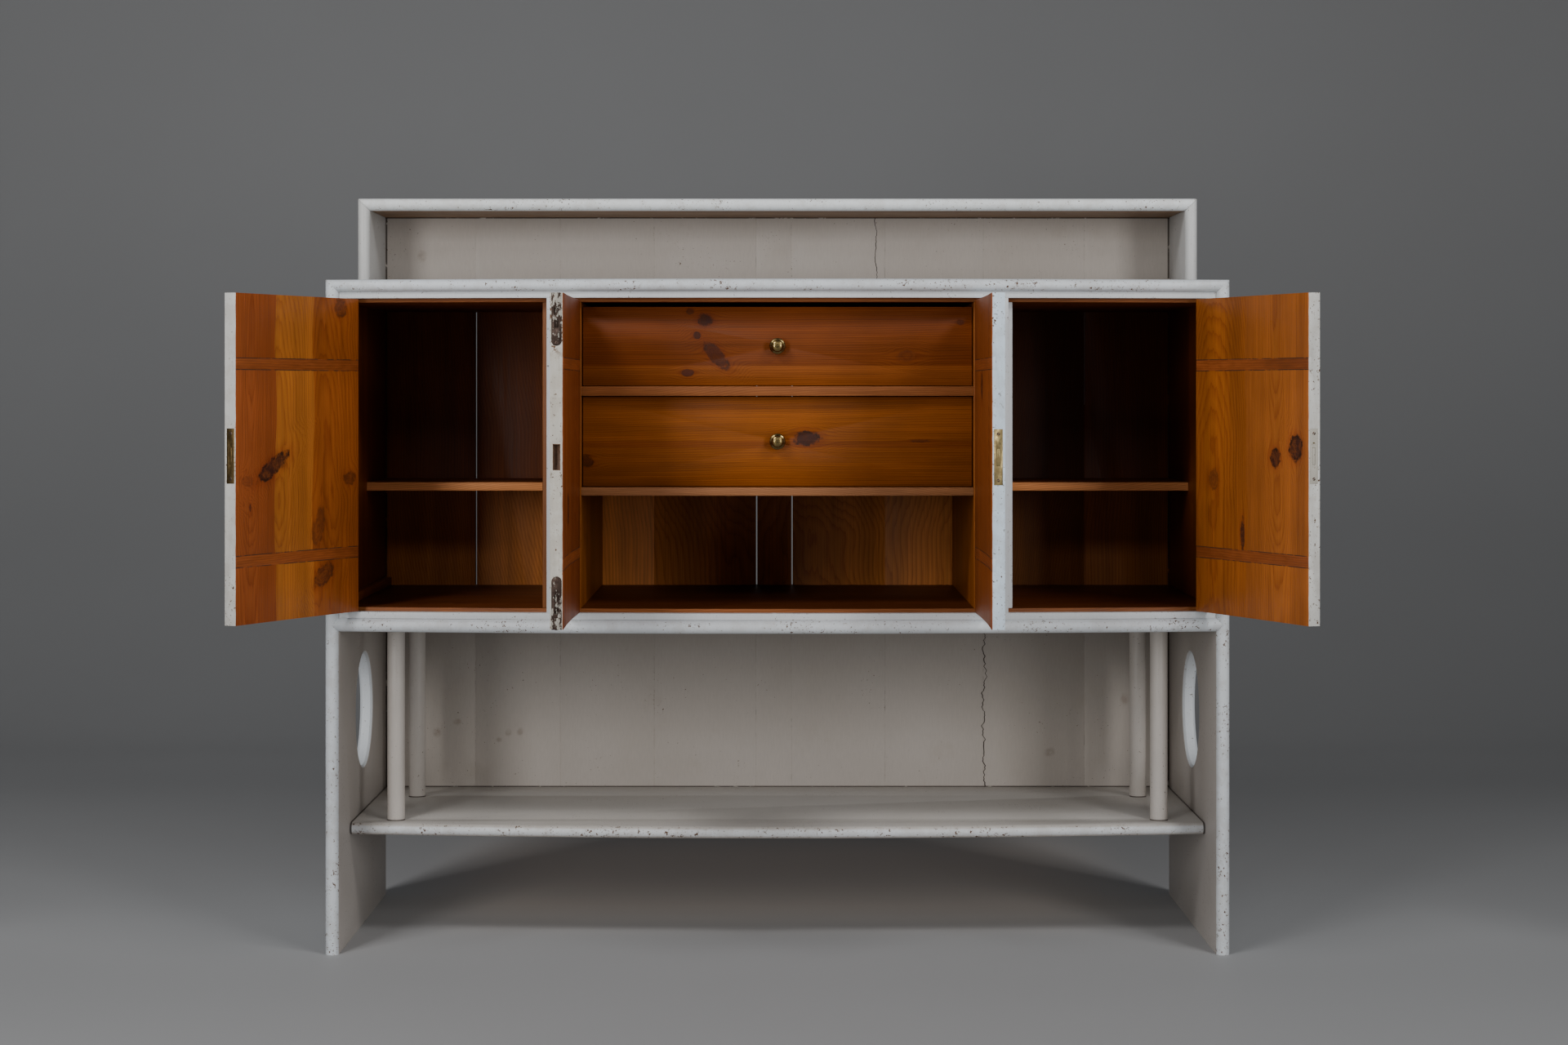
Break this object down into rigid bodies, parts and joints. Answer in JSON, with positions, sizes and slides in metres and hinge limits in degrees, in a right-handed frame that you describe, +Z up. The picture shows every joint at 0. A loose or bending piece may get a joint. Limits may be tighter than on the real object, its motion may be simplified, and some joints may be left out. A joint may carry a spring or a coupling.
{
  "type": "bow-fronted sideboard",
  "caption": "Bow-fronted painted pine sideboard: open gallery on top, curved doors, inner drawers with knobs, and an open bay with round posts above a low shelf.",
  "frame": {"origin": "On the floor, half-way between the outermost points left and right and front and back, with the doors as stored. X is zero at the middle of the case to within 10 mm, because the left outer door stands open a little further than the right one.", "axes": "+X to the right as one faces the doors, +Y from the front to the back, +Z up."},
  "size_m": [1.5853, 0.8919, 1.194],
  "materials": {
    "painted_pine": "worn white paint over pine, matte, chipped at the edges",
    "natural_pine": "old waxed pine, satin, with knots",
    "drawer_pine": "old waxed pine, satin",
    "back_pine": "aged pine, dark and dry inside, painted white where it is open to view",
    "brass": "old brass, dull, with some paint on the plates",
    "iron": "dark iron, worn bright where fingers push it"
  },
  "bodies": {
    "case": {"side_panel_left": "painted_pine", "side_panel_right": "painted_pine", "top_board": "painted_pine", "bottom_board": "painted_pine", "lower_shelf": "painted_pine", "turned_posts": "painted_pine", "gallery_side_left": "painted_pine", "gallery_side_right": "painted_pine", "gallery_top": "painted_pine", "back_boards": "back_pine", "top_lip": "painted_pine", "bottom_lip": "painted_pine", "stile_left": "painted_pine", "stile_right": "painted_pine", "face_post_left": "painted_pine", "face_post_right": "painted_pine", "door_stops": "natural_pine", "inner_top": "natural_pine", "floor_board": "natural_pine", "partition_left": "natural_pine", "partition_right": "natural_pine", "side_shelf_left": "natural_pine", "side_shelf_right": "natural_pine", "drawer_shelf": "natural_pine", "drawer_rail": "natural_pine", "drawer_runners": "natural_pine", "floor_batten": "natural_pine", "hinge_frame_leaves": "iron"},
    "outer_left_door": {"door_outer_left": "natural_pine", "battens_outer_left": "natural_pine", "hinge_leaves_outer_left": "iron", "lock_outer_left": "brass"},
    "outer_left_lock_bolt": {"lock_bolt_outer_left": "brass"},
    "outer_right_door": {"door_outer_right": "natural_pine", "battens_outer_right": "natural_pine", "hinge_leaves_outer_right": "iron", "lock_outer_right": "brass"},
    "outer_right_lock_bolt": {"lock_bolt_outer_right": "brass"},
    "centre_left_door": {"door_centre_left": "natural_pine", "battens_centre_left": "natural_pine", "hinge_leaves_centre_left": "iron", "flush_bolt_plates": "iron"},
    "centre_right_door": {"door_centre_right": "natural_pine", "battens_centre_right": "natural_pine", "hinge_leaves_centre_right": "iron", "lock_centre_right": "brass"},
    "centre_right_lock_bolt": {"lock_bolt_centre_right": "brass"},
    "upper_flush_bolt": {"flush_bolt_top": "iron"},
    "lower_flush_bolt": {"flush_bolt_bottom": "iron"},
    "upper_drawer": {"drawer_upper_front": "drawer_pine", "drawer_upper_sides": "drawer_pine", "drawer_upper_back": "drawer_pine", "drawer_upper_bottom": "drawer_pine", "drawer_upper_knob": "brass"},
    "lower_drawer": {"drawer_lower_front": "drawer_pine", "drawer_lower_sides": "drawer_pine", "drawer_lower_back": "drawer_pine", "drawer_lower_bottom": "drawer_pine", "drawer_lower_knob": "brass"}
  },
  "joints": [
    {"name": "outer_left_door_hinge", "type": "hinge", "parent": "case", "child": "outer_left_door", "pos_m": [-0.6654, -0.09244, 0.778], "axis": [0, 0, -1], "range_deg": [-110.3, 39.7]},
    {"name": "outer_left_lock_bolt_slide", "type": "slide", "parent": "outer_left_door", "child": "outer_left_lock_bolt", "axis": [0.3469, 0.9379, 0], "range_m": [-0.008, 0]},
    {"name": "outer_right_door_hinge", "type": "hinge", "parent": "case", "child": "outer_right_door", "pos_m": [0.6654, -0.09244, 0.778], "axis": [0, 0, 1], "range_deg": [-107, 43]},
    {"name": "outer_right_lock_bolt_slide", "type": "slide", "parent": "outer_right_door", "child": "outer_right_lock_bolt", "axis": [-0.2924, 0.9563, 0], "range_m": [-0.008, 0]},
    {"name": "centre_left_door_hinge", "type": "hinge", "parent": "case", "child": "centre_left_door", "pos_m": [-0.3224, -0.12459, 0.778], "axis": [0, 0, -1], "range_deg": [-88.5, 76.5]},
    {"name": "centre_right_door_hinge", "type": "hinge", "parent": "case", "child": "centre_right_door", "pos_m": [0.3224, -0.12459, 0.778], "axis": [0, 0, 1], "range_deg": [-88.5, 76.5]},
    {"name": "centre_right_lock_bolt_slide", "type": "slide", "parent": "centre_right_door", "child": "centre_right_lock_bolt", "axis": [0.0262, 0.9997, 0], "range_m": [-0.008, 0]},
    {"name": "upper_flush_bolt_slide", "type": "slide", "parent": "centre_left_door", "child": "upper_flush_bolt", "axis": [0, 0, -1], "range_m": [-0.009, 0]},
    {"name": "lower_flush_bolt_slide", "type": "slide", "parent": "centre_left_door", "child": "lower_flush_bolt", "axis": [0, 0, 1], "range_m": [-0.007, 0]},
    {"name": "upper_drawer_slide", "type": "slide", "parent": "case", "child": "upper_drawer", "axis": [0, -1, 0], "range_m": [0, 0.35]},
    {"name": "lower_drawer_slide", "type": "slide", "parent": "case", "child": "lower_drawer", "axis": [0, -1, 0], "range_m": [0, 0.35]}
  ]
}
